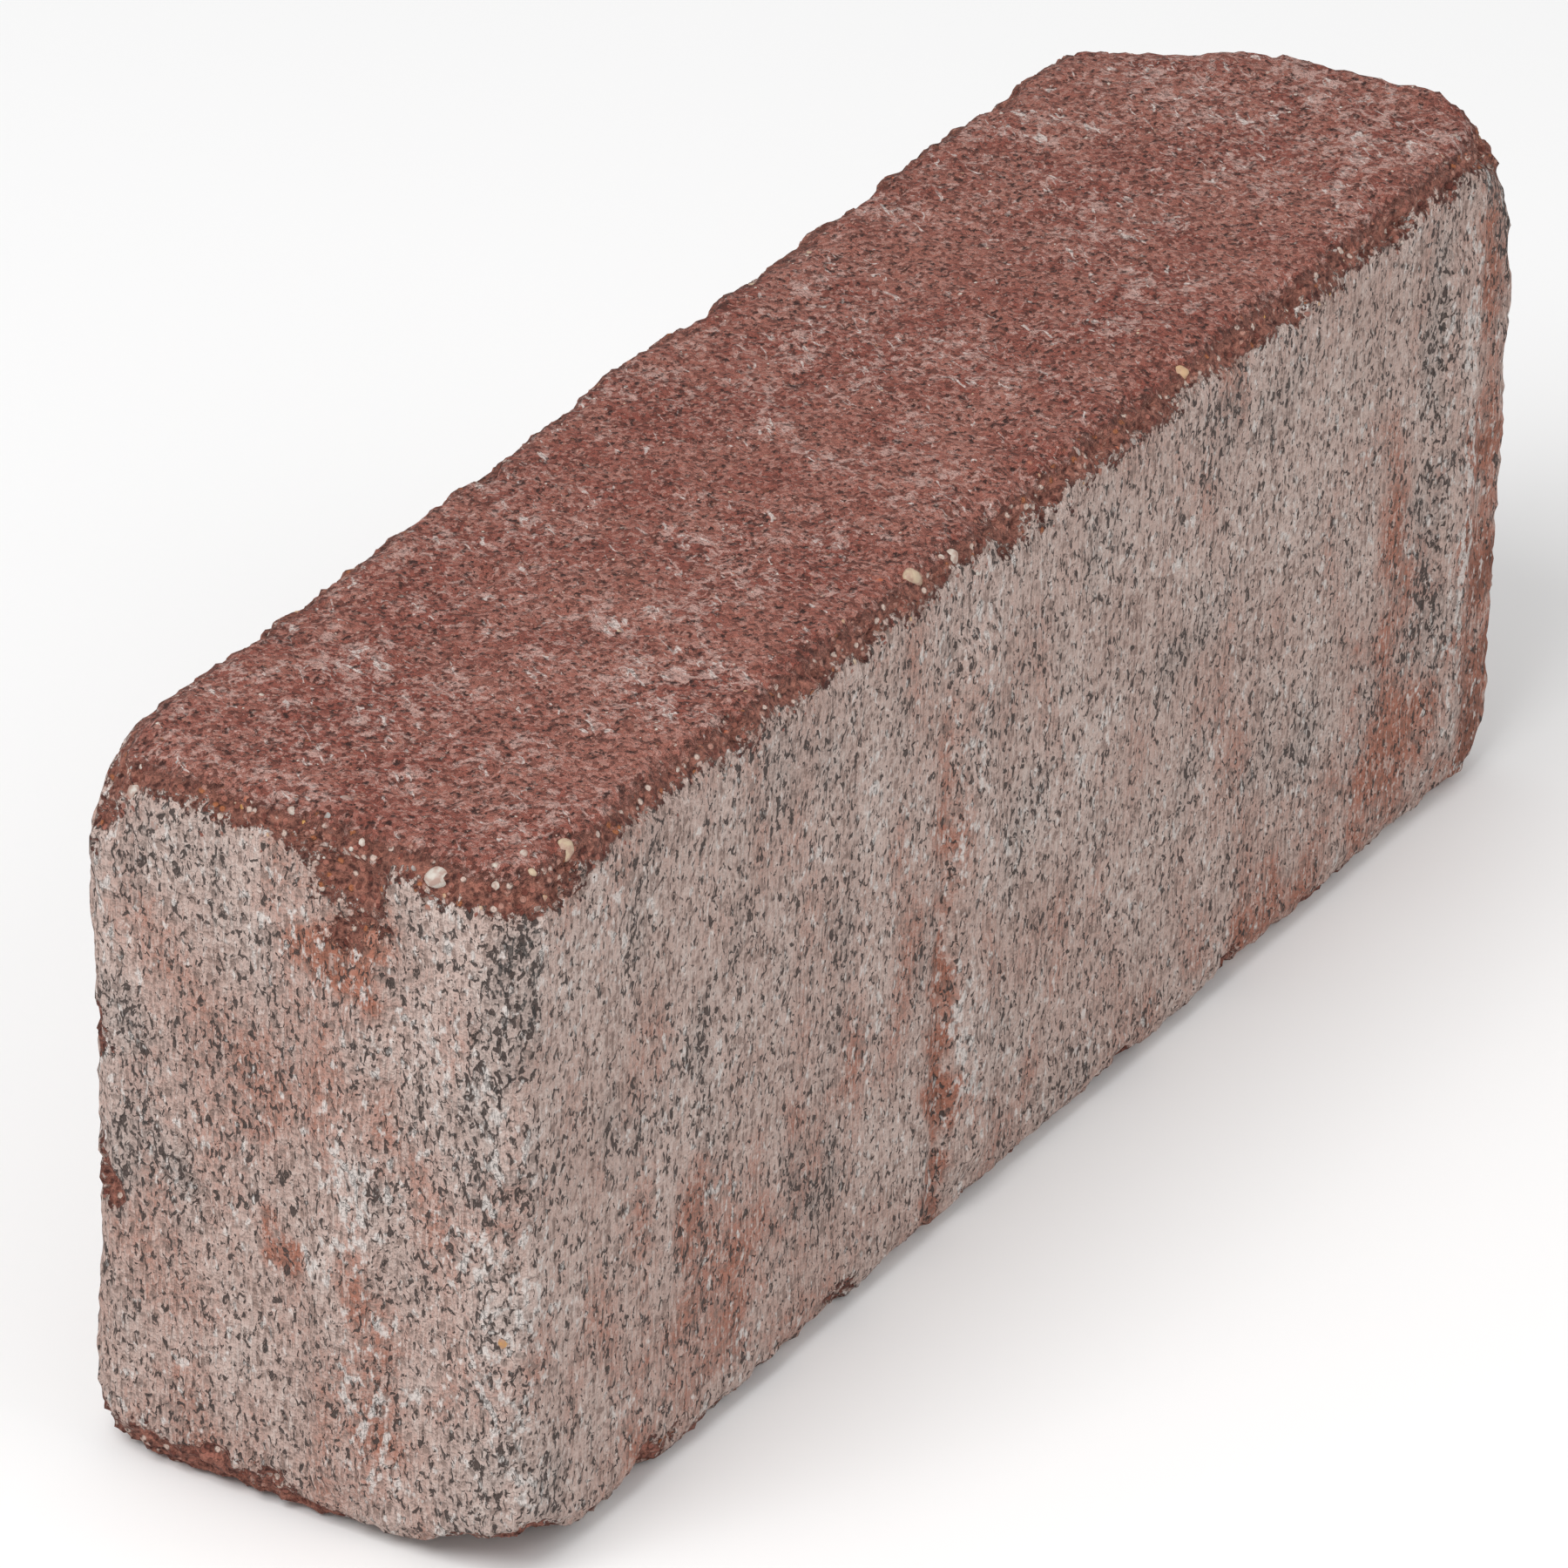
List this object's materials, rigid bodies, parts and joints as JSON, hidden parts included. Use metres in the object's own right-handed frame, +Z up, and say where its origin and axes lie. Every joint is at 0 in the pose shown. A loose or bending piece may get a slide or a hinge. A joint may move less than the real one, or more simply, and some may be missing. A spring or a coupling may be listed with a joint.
{
  "type": "tumbled brick",
  "caption": "Narrow tumbled concrete paving brick with rounded, chipped edges, a red wearing face and low spacer nibs on its sides and ends.",
  "frame": {"origin": "middle of the bed face that the brick stands on", "axes": "+X along the brick's length, +Y across its width, +Z up to the red wearing face"},
  "size_m": [0.2, 0.0524, 0.079],
  "materials": {
    "concrete": "rough"
  },
  "bodies": {
    "root": {"tumbled_brick": "concrete"}
  },
  "joints": []
}
